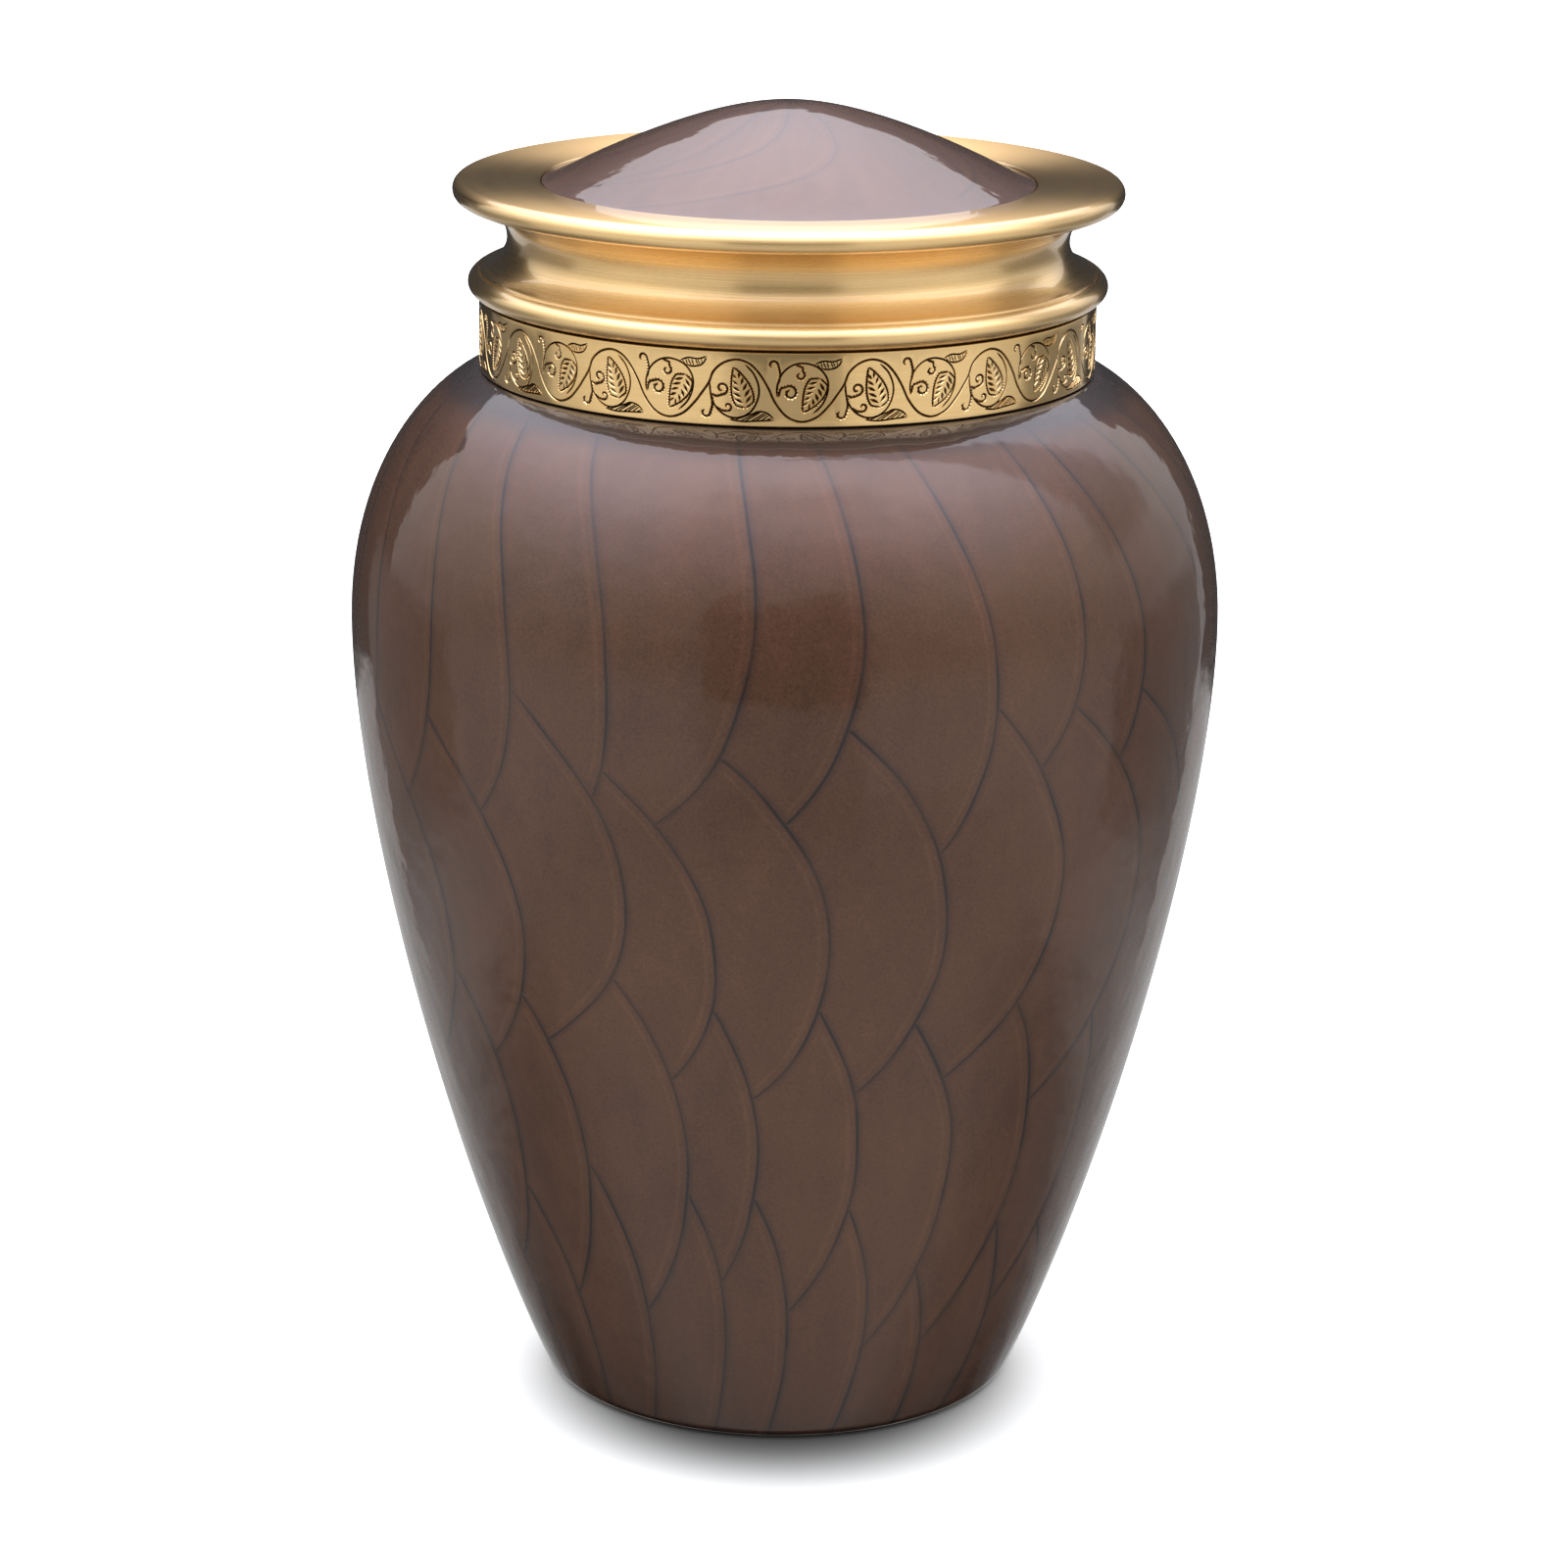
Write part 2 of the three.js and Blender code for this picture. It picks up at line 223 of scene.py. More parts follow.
def make_lid_ring():
    foot_run = ARRIS.x - WAIST.x
    lip_run = LIP.x - WAIST.x
    bead = arc(BEAD_CENTRE.x, BEAD_CENTRE.z, BEAD_BULGE, BEAD_HALF_HEIGHT,
               -90, BEAD_LAST_DEG, MOULDING_STEPS)
    # A small lip hangs over the bead just under the sharp line.
    bead += [
        profile_point(ARRIS.x + 0.35 * MM, ARRIS.z - 0.7 * MM),
        profile_point(ARRIS.x + 0.22 * MM, ARRIS.z - 0.18 * MM),
    ]
    cove_foot = pulled(
        ARRIS,
        profile_point(ARRIS.x - COVE_FOOT_PULL * foot_run, ARRIS.z + 0.4 * MM),
        profile_point(WAIST.x, WAIST.z - WAIST_PULL * (WAIST.z - ARRIS.z)),
        WAIST,
        COVE_STEPS,
    )
    cove_head = pulled(
        WAIST,
        profile_point(WAIST.x, WAIST.z + WAIST_PULL * (LIP.z - WAIST.z)),
        profile_point(LIP.x - COVE_HEAD_PULL * lip_run, LIP.z),
        LIP,
        COVE_STEPS,
    )
    half = FLANGE_THICKNESS / 2
    edge = arc(LIP.x, LIP.z + half, half, half, -90, 90, MOULDING_STEPS)
    rebate = profile_point(REBATE_RADIUS, REBATE_TOP)
    rebate_foot = profile_point(REBATE_RADIUS, REBATE_FLOOR)
    profile = [profile_point(SPIGOT_RADIUS, SEAT_HEIGHT)]
    profile += bead + cove_foot + cove_head[1:] + edge[1:]
    profile += rounded(rebate, edge[-1], rebate_foot, REBATE_ROUND)
    profile += [
        rebate_foot,
        profile_point(REBATE_RADIUS - REBATE_WIDTH, REBATE_FLOOR),
        profile_point(REBATE_RADIUS - REBATE_WIDTH, LIP.z),
        profile_point(BORE_RADIUS, LIP.z),
        profile_point(BORE_RADIUS, ring_low[2]),
        profile_point(SPIGOT_RADIUS, ring_low[2]),
    ]
    return turned("lid_moulding", profile, closed=True)


# The dome: a thin cap that swells at its crown and flares out level at its foot.
DOME_RADIUS = REBATE_RADIUS - GAP
DOME_FOOT = REBATE_TOP - GAP
DOME_WALL = 1.3 * MM
DOME_FOOT_RISE = 0.5 * MM
# Its two pulls, as shares of the radius.
CROWN_PULL = 0.4
RIM_PULL = 0.93


def dome_curve(radius, foot, crown):
    return pulled(
        profile_point(0, crown),
        profile_point(CROWN_PULL * radius, crown),
        profile_point(RIM_PULL * radius, foot + DOME_FOOT_RISE),
        profile_point(radius, foot),
    )


def make_dome():
    underside = REBATE_FLOOR + GAP
    hollow = dome_curve(DOME_RADIUS - REBATE_WIDTH, underside, dome_high[2] - DOME_WALL)
    outside = dome_curve(DOME_RADIUS, DOME_FOOT, dome_high[2])
    profile = hollow + [profile_point(DOME_RADIUS, underside)] + outside[::-1]
    return turned("lid_cap", profile, closed=False)


# The band's ornament is drawn flat in millimetres, x along the band and y up it, and each
# stroke is then cut out of a flat strip that is bent round the neck.
LEAVES_ROUND = 15
UNIT_MM = TAU * BAND_RADIUS / MM / LEAVES_ROUND
FIRST_LEAF = math.radians(-9.2)
STRIP_START_MM = -7.0
COLUMNS = 16
BAND_EDGE_MM = 0.28
BAND_SHARP_DEG = 24
# How close a point is to a cutting plane to count as on it, and repeats' points to be one.
ON_PLANE_MM = 0.0005
REPEATS_MEET_MM = 0.004
ORNAMENT_DOWN_MM = 0.1
# A stroke's depth, and how far its cutter stands out of the face.
DEPTH_MM = 0.38
LIFT_MM = 0.06
# Widths of the strokes.
VINE_MM = 0.52
RING_MM = 0.42
LEAF_EDGE_MM = 0.42
VEIN_MM = 0.7
LEAFLET_EDGE_MM = 0.36
HATCH_MM = 0.28
LARGE_CURL_MM = 0.54
SMALL_CURL_MM = 0.5
# How far apart the points of a stroke are.
RING_STEP_MM = 0.45
LEAF_STEP_MM = 0.26
LEAFLET_STEP_MM = 0.4
VEIN_STEP_MM = 0.35
CURL_STEP_MM = 0.3
VINE_STEPS = 60
# The leaves: how full the two ends are, how full the widest place comes out, and the veins.
LEAF_TIP_POWER = 0.95
LEAF_BASE_POWER = 0.42
LEAF_FULLEST = 0.436
LEAF_WIDTH_MM = 4.1
LEAF_OUTLINE_STEPS = 11
VEINS = 5
FIRST_VEIN = 0.29
VEIN_SPACING = 0.15
LEAFLET_LINES = 8


def flat(x, y):
    return Vector((x, y, 0))


def flowing(points, step):
    """Even points along a smooth line through the given ones."""
    steps_between = 16
    dense = [points[0]]
    for i in range(len(points) - 1):
        start, end = points[i], points[i + 1]
        before = points[i - 1] if i else start
        after = points[i + 2] if i + 2 < len(points) else end
        dense += interpolate_bezier(
            start, start + (end - before) / 6, end - (after - start) / 6, end, steps_between)[1:]
    runs = [(b - a).length for a, b in zip(dense, dense[1:])]
    pieces = max(2, round(sum(runs) / step))
    spacing = sum(runs) / pieces
    even = [dense[0]]
    gone = 0.0
    for start, end, run in zip(dense, dense[1:], runs):
        while len(even) < pieces and gone + run >= spacing * len(even):
            even.append(start.lerp(end, (spacing * len(even) - gone) / run))
        gone += run
    return even + [dense[-1]]


def cut_stroke(shape, path, width, toothed=0.0, open_ended=False):
    """A V-shaped cutter along the path, shallow at its ends unless it is open ended.

    toothed widens every other step on its left."""
    last = len(path) - 1
    cap = None
    for i, at in enumerate(path):
        run = (path[min(i + 1, last)] - path[max(i - 1, 0)]).normalized()
        aside = Vector((-run.y, run.x, 0))
        size = 1.0 if open_ended else min(1.0, 0.4 + 0.3 * min(i, last - i))
        depth = DEPTH_MM * size
        half = 0.5 * width * size * (1 + LIFT_MM / depth)
        section = (
            at + aside * (half + toothed * (i % 2)) + Vector((0, 0, LIFT_MM)),
            at - aside * half + Vector((0, 0, LIFT_MM)),
            at - Vector((0, 0, depth)),
        )
        if cap is None:
            cap = shape.faces.new([shape.verts.new(corner) for corner in section])
            continue
        cap = bmesh.ops.extrude_discrete_faces(shape, faces=[cap])["faces"][0]
        for corner, place in zip(cap.verts, section):
            corner.co = place


def curl(stem, centre, radius, start_deg, sweep_deg, end_radius):
    """A stem that runs into a spiral about the centre."""
    steps = max(3, int(abs(sweep_deg) / 40))
    spiral = []
    for i in range(steps + 1):
        angle = math.radians(start_deg + sweep_deg * i / steps)
        size = radius + (end_radius - radius) * i / steps
        spiral.append(centre + flat(size * math.cos(angle), size * math.sin(angle)))
    return flowing(list(stem) + spiral, CURL_STEP_MM)


def cut_leaf(shape, tip, base, bend, width):
    """A pointed leaf with a toothed outline and slanting veins."""
    control = (tip + base) / 2 + flat(base.y - tip.y, tip.x - base.x).normalized() * bend

    def spine(t):
        return tip.lerp(control, t).lerp(control.lerp(base, t), t)

    def at(t, share):
        """A point of the leaf: t goes from tip to base, share from the spine to the edge."""
        along = (spine(min(t + 0.02, 1)) - spine(max(t - 0.02, 0))).normalized()
        half = width / 2 * t ** LEAF_TIP_POWER * (1 - t) ** LEAF_BASE_POWER / LEAF_FULLEST
        return spine(t) + flat(-along.y, along.x) * half * share

    for side in (-1, 1):
        outline = [at(i / LEAF_OUTLINE_STEPS, side) for i in range(LEAF_OUTLINE_STEPS + 1)]
        path = flowing(outline, LEAF_STEP_MM)
        cut_stroke(shape, path if side > 0 else path[::-1], LEAF_EDGE_MM, toothed=0.22)
        for i in range(VEINS):
            root = FIRST_VEIN + VEIN_SPACING * i
            vein = [
                at(root, 0.14 * side),
                at(root - 0.08, 0.5 * side),
                at(root - 0.15, 0.84 * side),
            ]
            cut_stroke(shape, flowing(vein, VEIN_STEP_MM), VEIN_MM)


def cut_leaflet(shape, upper, lower, lines):
    """A small leaf between two edges, filled with slanting lines."""
    top = flowing(upper, LEAFLET_STEP_MM)
    bottom = flowing(lower, LEAFLET_STEP_MM)
    cut_stroke(shape, top, LEAFLET_EDGE_MM)
    cut_stroke(shape, bottom, LEAFLET_EDGE_MM)
    for i in range(lines):
        share = (i + 0.6) / (lines + 0.4)
        above = top[round(share * (len(top) - 1))]
        below = bottom[round(max(share - 0.08, 0) * (len(bottom) - 1))]
        cut_stroke(shape, flowing([above, below], VEIN_STEP_MM), HATCH_MM)


def cut_curl(shape, width, toothed, *stem_and_spiral):
    """Cuts the curl that curl() makes of its stem and spiral."""
    cut_stroke(shape, curl(*stem_and_spiral), width, toothed)


def cut_upright_unit(shape, middle):
    """The ring, leaf and curls under an arch of the vine."""
    def at(*pairs):
        return [middle + flat(*pair) for pair in pairs]

    ring = at((1.9, 4.9), (3.5, 3.3), (4.5, 1.0), (4.5, -1.3), (3.4, -3.7), (1.5, -5.1),
              (-0.6, -5.3), (-2.6, -4.4), (-4.1, -2.6), (-4.7, -0.4), (-4.8, 1.4))
    cut_stroke(shape, flowing(ring, RING_STEP_MM), RING_MM)
    tip, base = at((-0.3, 4.3), (2.1, -3.4))
    cut_leaf(shape, tip, base, -0.35, LEAF_WIDTH_MM)
    stem = at((-4.5, -0.9), (-3.6, -1.35))
    cut_curl(shape, LARGE_CURL_MM, 0.24, stem, *at((-2.5, 0.2)), 1.3, -95, 400, 0.35)
    stem = at((-3.6, -3.3), (-2.6, -4.0))
    cut_curl(shape, SMALL_CURL_MM, 0.2, stem, *at((-1.35, -3.3)), 0.85, -100, 300, 0.35)
    stem = at((-4.6, -0.9), (-4.3, -2.8))
    cut_curl(shape, LARGE_CURL_MM, 0.22, stem, *at((-5.6, -4.5)), 0.95, 5, -250, 0.5)
    cut_leaflet(
        shape,
        at((3.3, -4.6), (4.6, -4.0), (6.2, -4.3), (7.5, -5.4)),
        at((-0.9, -5.7), (1.6, -6.0), (4.6, -5.8), (7.5, -5.6)),
        LEAFLET_LINES,
    )


def cut_inverted_unit(shape, middle):
    """The same the other way up, over a trough of the vine."""
    def at(*pairs):
        return [middle + flat(*pair) for pair in pairs]

    ring = at((-4.8, -1.3), (-4.8, 1.0), (-3.9, 3.3), (-2.0, 4.9), (0.4, 5.3), (3.0, 4.4),
              (4.6, 2.3), (4.7, -0.2), (3.7, -2.6), (1.9, -4.4))
    cut_stroke(shape, flowing(ring, RING_STEP_MM), RING_MM)
    tip, base = at((0.0, -4.1), (3.3, 2.4))
    cut_leaf(shape, tip, base, 0.5, LEAF_WIDTH_MM)
    stem = at((-4.6, -1.4), (-4.2, 0.3))
    cut_curl(shape, LARGE_CURL_MM, 0.24, stem, *at((-2.4, -0.4)), 1.45, 130, -420, 0.4)
    stem = at((-1.5, 5.0), (-0.1, 4.5))
    cut_curl(shape, SMALL_CURL_MM, 0.2, stem, *at((-0.5, 3.0)), 0.95, 60, -330, 0.35)
    stem = at((-4.6, 1.2), (-4.3, 3.2))
    cut_curl(shape, LARGE_CURL_MM, 0.22, stem, *at((-5.6, 4.9)), 0.95, -5, 250, 0.5)
    cut_leaflet(
        shape,
        at((2.2, 5.1), (3.8, 5.7), (5.8, 5.6), (7.5, 6.2)),
        at((3.3, 4.4), (4.6, 4.1), (6.4, 4.5), (7.5, 5.9)),
        LEAFLET_LINES,
    )


def cut_vine(shape):
    """The wave that runs over each upright unit and under each inverted one."""
    bends = ((-5.0, 1.1), (-4.1, 3.3), (-2.2, 5.0), (0.3, 5.7), (2.7, 5.0), (4.6, 3.2), (6.3, 0.5),
             (7.7, -2.4), (9.9, -5.0), (12.7, -6.0), (15.6, -5.1), (17.9, -2.9), (19.4, -0.9))
    path = [flat(x + turn * UNIT_MM, y) for turn in (-1, 0, 1) for x, y in bends]
    cut_stroke(shape, flowing(path, UNIT_MM / VINE_STEPS), VINE_MM, open_ended=True)


def carve_strip():
    """One unit of the band as a flat strip with its ornament cut in."""
    wall = BAND_WALL / MM
    strip = bmesh.new()
    size = Matrix.Diagonal((UNIT_MM, BAND_HEIGHT / MM, wall, 1))
    shift = Matrix.Translation((STRIP_START_MM + UNIT_MM / 2, 0, -wall / 2))
    bmesh.ops.create_cube(strip, size=1, matrix=shift @ size)
    # The two long edges of its face are rounded.
    long_edges = [e for e in strip.edges
                  if all(v.co.z > -0.01 for v in e.verts) and e.verts[0].co.y == e.verts[1].co.y]
    bmesh.ops.bevel(strip, geom=long_edges, offset=BAND_EDGE_MM, segments=3, profile=0.5,
                    affect="EDGES", material=-1)
    blank = finished("strip", strip)
    # Units on both sides are cut too, so that strokes run on over the strip's ends.
    tools = bmesh.new()
    cut_vine(tools)
    for shift_mm in (-UNIT_MM, 0, UNIT_MM):
        cut_upright_unit(tools, flat(shift_mm, -ORNAMENT_DOWN_MM))
        cut_inverted_unit(tools, flat(shift_mm + UNIT_MM / 2, -ORNAMENT_DOWN_MM))
    bmesh.ops.holes_fill(tools, edges=[e for e in tools.edges if e.is_boundary])
    bmesh.ops.recalc_face_normals(tools, faces=tools.faces)
    cutter = finished("strokes", tools)
    cut = blank.modifiers.new("ornament", "BOOLEAN")
    cut.operation = "DIFFERENCE"
    cut.object = cutter
    cut.solver = "EXACT"
    cut.use_self = True
    carved = bmesh.new()
    carved.from_object(blank, bpy.context.evaluated_depsgraph_get())
    for spare in (blank, cutter):
        bpy.data.objects.remove(spare)
    return carved


def on_straight_rim(corner):
    """Whether a point of an open rim lies on a straight run of it and can be left out."""
    runs = [edge.other_vert(corner).co - corner.co
            for edge in corner.link_edges if edge.is_boundary]
    return len(runs) == 2 and runs[0].angle(runs[1]) > math.radians(178)


def make_band():
    """The carved strip, repeated and bent round the neck."""
    band = carve_strip()
    ends = (STRIP_START_MM, STRIP_START_MM + UNIT_MM)
    # The strip's end faces go, so that the repeats join into one closed ring.
    closing = [f for f in band.faces
               if any(all(abs(v.co.x - end) < 0.001 for v in f.verts) for end in ends)]
    bmesh.ops.delete(band, geom=closing, context="FACES")
    bmesh.ops.dissolve_verts(band, verts=[v for v in band.verts if on_straight_rim(v)])
    for i in range(1, COLUMNS):
        bmesh.ops.bisect_plane(
            band, geom=band.verts[:] + band.edges[:] + band.faces[:], dist=ON_PLANE_MM,
            plane_co=(STRIP_START_MM + UNIT_MM * i / COLUMNS, 0, 0), plane_no=(1, 0, 0),
        )
    bmesh.ops.triangulate(band, faces=band.faces)
    unit = band.verts[:] + band.edges[:] + band.faces[:]
    for i in range(1, LEAVES_ROUND):
        copied = bmesh.ops.duplicate(band, geom=unit)["geom"]
        corners = [part for part in copied if isinstance(part, bmesh.types.BMVert)]
        bmesh.ops.translate(band, verts=corners, vec=(UNIT_MM * i, 0, 0))
    for corner in band.verts:
        turn = FIRST_LEAF + corner.co.x * MM / BAND_RADIUS
        radius = BAND_RADIUS + corner.co.z * MM
        height = BAND_MIDDLE + corner.co.y * MM
        corner.co = (radius * math.sin(turn), -radius * math.cos(turn), height)
    bmesh.ops.remove_doubles(band, verts=band.verts, dist=REPEATS_MEET_MM * MM)
    # Merging folds a few slivers flat, which leaves the same face there twice.
    alike = {}
    for face in band.faces:
        alike.setdefault(frozenset(face.verts), []).append(face)
    flaps = [face for faces in alike.values() if len(faces) > 1 for face in faces]
    bmesh.ops.delete(band, geom=flaps, context="FACES")
    bmesh.ops.recalc_face_normals(band, faces=band.faces)
    return finished("vine_band", band, BAND_SHARP_DEG)


class Wiring:
    """Short ways to add nodes to a material or a world."""

    def __init__(self, owner):
        owner.use_nodes = True
        self.tree = owner.node_tree
        self.tree.nodes.clear()

    def node(self, kind, **settings):
        made = self.tree.nodes.new(kind)
        for name, value in settings.items():
            setattr(made, name, value)
        return made

    def feed(self, socket, value):
        if isinstance(value, bpy.types.NodeSocket):
            self.tree.links.new(value, socket)
        else:
            socket.default_value = value

    def maths(self, operation, *values):
        made = self.node("ShaderNodeMath", operation=operation)
        for socket, value in zip(made.inputs, values):
            self.feed(socket, value)
        return made.outputs[0]

    def add(self, a, b):
        return self.maths("ADD", a, b)

    def less(self, a, b):
        return self.maths("SUBTRACT", a, b)

    def times(self, a, b):
        return self.maths("MULTIPLY", a, b)

    def over(self, a, b):
        return self.maths("DIVIDE", a, b)

    def held(self, value, low, high):
        """The value, kept between low and high."""
        return self.maths("MAXIMUM", self.maths("MINIMUM", value, high), low)

    def ramp(self, value, start, end, low=0.0, high=1.0):
        """A soft step from low to high as the value goes from start to end."""
        made = self.node("ShaderNodeMapRange", interpolation_type="SMOOTHSTEP")
        for name, given in zip(("Value", "From Min", "From Max", "To Min", "To Max"),
                               (value, start, end, low, high)):
            self.feed(made.inputs[name], given)
        return made.outputs[0]

    def within(self, value, low, high, edge):
        """1 where the value lies between low and high, with soft edges."""
        rise = self.ramp(value, low - edge, low + edge)
        fall = self.ramp(value, high - edge, high + edge, 1.0, 0.0)
        return self.times(rise, fall)

    def toward(self, value, target, share):
        """The value, moved to the target by this share of the way."""
        return self.add(value, self.times(self.less(target, value), share))

    def axes(self, vector):
        made = self.node("ShaderNodeSeparateXYZ")
        self.feed(made.inputs[0], vector)
        return made.outputs

    def vector(self, x, y, z):
        made = self.node("ShaderNodeCombineXYZ")
        for socket, value in zip(made.inputs, (x, y, z)):
            self.feed(socket, value)
        return made.outputs[0]

    def noise(self, vector, scale, detail, roughness=0.5):
        made = self.node("ShaderNodeTexNoise")
        self.feed(made.inputs["Vector"], vector)
        made.inputs["Scale"].default_value = scale
        made.inputs["Detail"].default_value = detail
        made.inputs["Roughness"].default_value = roughness
        return made.outputs["Fac"]

    def chance(self, value):
        """A number between 0 and 1 that is the same wherever the value is."""
        made = self.node("ShaderNodeTexWhiteNoise", noise_dimensions="1D")
        self.feed(made.inputs["W"], value)
        return made.outputs["Value"]

    def blend(self, share, low, high):
        made = self.node("ShaderNodeMix", data_type="RGBA")
        self.feed(made.inputs[0], share)
        self.feed(made.inputs[6], low)
        self.feed(made.inputs[7], high)
        return made.outputs[2]

    def bump(self, height, strength, distance):
        made = self.node("ShaderNodeBump")
        made.inputs["Strength"].default_value = strength
        made.inputs["Distance"].default_value = distance
        self.feed(made.inputs["Height"], height)
        return made.outputs[0]

    def place(self):
        return self.node("ShaderNodeTexCoord").outputs["Object"]

    def from_axis(self, x, y):
        return self.maths("SQRT", self.add(self.times(x, x), self.times(y, y)))


# The enamel is laid on in long strokes, each with a bowed right edge that lies over its
# neighbours. A row has the height in mm where its edges bow out furthest, how quickly they
# fall away to the left of that (in strokes per square mm), and its shift against the row above.
STROKES_ROUND = 24
STROKE_ROWS = (
    (171, 0.00040, -0.26),
    (116, 0.00050, 0.81),
    (67, 0.00045, 0.32),
    (20, 0.00050, 0.40),
)
DOME_STROKES = 11
DOME_ROWS = (
    (-12, 0.0008, 0.1),
)
# How much single strokes differ: to the side, in strokes, and in height.
UNEVEN = 0.3
UNEVEN_MM = 16.0
# Below its furthest bow an edge hooks back to the left, more so past this far down.
HOOK_MM = 42.0
HOOK_BEND = 0.55
# The dark edge line, the shade to its right and the light lip to its left, in mm from the edge.
LINE_MM = (0.12, 0.52)
SHADE_MM = (-0.8, 0.0, 1.8)
SHADE_LEVEL = 0.45
LIP_MM = (-2.7, -1.9, -1.2)
# An edge shows where no other stroke lies over it, by these shares of a stroke.
EDGE_SHOWN = (0.0, 0.03)
LIP_SHOWN = (0.12, 0.3)
# Keeps the chances of the rows, and of the two ways that strokes differ, apart.
ROW_CHANCES = 40.0
HEIGHT_CHANCES = 500.0


def stroke_edges(w, around, height, across, rows, count):
    """How dark the strokes' edges are at a point, and how light the paint beside them.

    around counts strokes round the axis, height is in mm and across is one stroke in mm."""
    def bow(row, at):
        """How far to the left a row's edges have fallen at this height, and how they lean."""
        middle, bend = rows[row][:2]
        off = w.less(at, float(middle))
        below = w.times(w.maths("MINIMUM", off, 0.0), 1 / HOOK_MM)
        hook = w.add(w.times(w.times(below, below), HOOK_BEND), 1.0)
        fallen = w.times(w.times(w.times(off, off), bend), hook)
        shift = sum(step for _, _, step in rows[:row + 1])
        return w.less(fallen, shift), w.times(off, 2.0 * bend)

    def line(row, number):
        """Where the numbered edge of a row stands at this height, in strokes, and its lean."""
        name = w.maths("FLOOR", w.maths("FLOORED_MODULO", w.add(number, 0.5), float(count)))
        name = w.add(name, ROW_CHANCES * row)
        aside = w.times(w.less(w.chance(name), 0.5), UNEVEN)
        higher = w.times(w.less(w.chance(w.add(name, HEIGHT_CHANCES)), 0.5), UNEVEN_MM)
        fallen, lean = bow(row, w.add(height, higher))
        return w.less(w.add(number, aside), fallen), lean

    dark = 0.0
    light = 0.0
    for row in range(len(rows)):
        number = w.maths("FLOOR", w.add(w.add(around, bow(row, height)[0]), 0.5))
        here, lean = line(row, number)
        ahead = 1.0
        if row:
            ahead = w.less(here, line(row - 1, number)[0])
        if row + 1 < len(rows):
            free = w.less(here, line(row + 1, w.less(number, 1.0))[0])
            ahead = w.maths("MINIMUM", ahead, free)
        lean = w.times(lean, across)
        steep = w.maths("SQRT", w.add(w.times(lean, lean), 1.0))
        aside = w.over(w.times(w.less(around, here), across), steep)
        gone = w.maths("ABSOLUTE", aside)
        shown = w.ramp(ahead, *EDGE_SHOWN)
        core = w.ramp(gone, *LINE_MM, 1.0, 0.0)
        left, edge, right = SHADE_MM
        shade = w.times(w.ramp(aside, edge, right, SHADE_LEVEL, 0.0), w.ramp(aside, left, edge))
        dark = w.maths("MAXIMUM", dark, w.times(w.maths("MAXIMUM", core, shade), shown))
        left, crest, right = LIP_MM
        lip = w.times(w.ramp(aside, left, crest), w.ramp(aside, crest, right, 1.0, 0.0))
        light = w.maths("MAXIMUM", light, w.times(lip, w.ramp(ahead, *LIP_SHOWN)))
    return dark, light


PEARL_DEEP = (0.049, 0.0180, 0.0063, 1)
PEARL_LIGHT = (0.106, 0.0395, 0.0148, 1)
# The colour of the strokes' dark edge lines, also used for the painted shade under the band.
PEARL_LINE_AND_SHADE = (0.012, 0.006, 0.0055, 1)
# How far the strokes wander: slowly and quickly to the side, in strokes, and in height.
DRIFT = 0.6
WAVER = 0.05
DRIFT_UP_MM = 26.0
# How fine each unevenness is, in ups and downs to the metre.
DRIFT_FINE = 13.0
WAVER_FINE = 60.0
DRIFT_UP_FINE = 11.0
BOLD_FINE = 60.0
CLOUD_FINE = 18.0
GRAIN_FINE = 2000.0
# How fine the streaks are round the axis, and how little they change up it, per mm.
STREAKS_ROUND = 10.0
STREAK_RISE = 0.006
# Painted shade: the paint goes dark at the foot of the neck, under the band.
NECK_SHADE_FROM = 205.5 * MM
NECK_SHADE_TO = 209.5 * MM
# The gloss's ripples: how fine they are and how strong.
RIPPLES = ((55.0, 1.0), (150.0, 0.5), (420.0, 0.08))
RIPPLE_DEPTH = 0.4 * MM
# What the pearl's shade is made of: an even part, then clouds, streaks, grain and the light lips.
EVEN_SHADE = 0.16
CLOUD_SHARE = 0.22
STREAK_SHARE = 0.26
GRAIN_SHARE = 1.5
LIP_SHARE = 0.22
LINE_SHARE = 0.95
DOME_LINE_SHARE = 0.5
METAL_SHARE = 0.5
GLOSS_ROUGHNESS = 0.012
GLOSS_IOR = 1.4


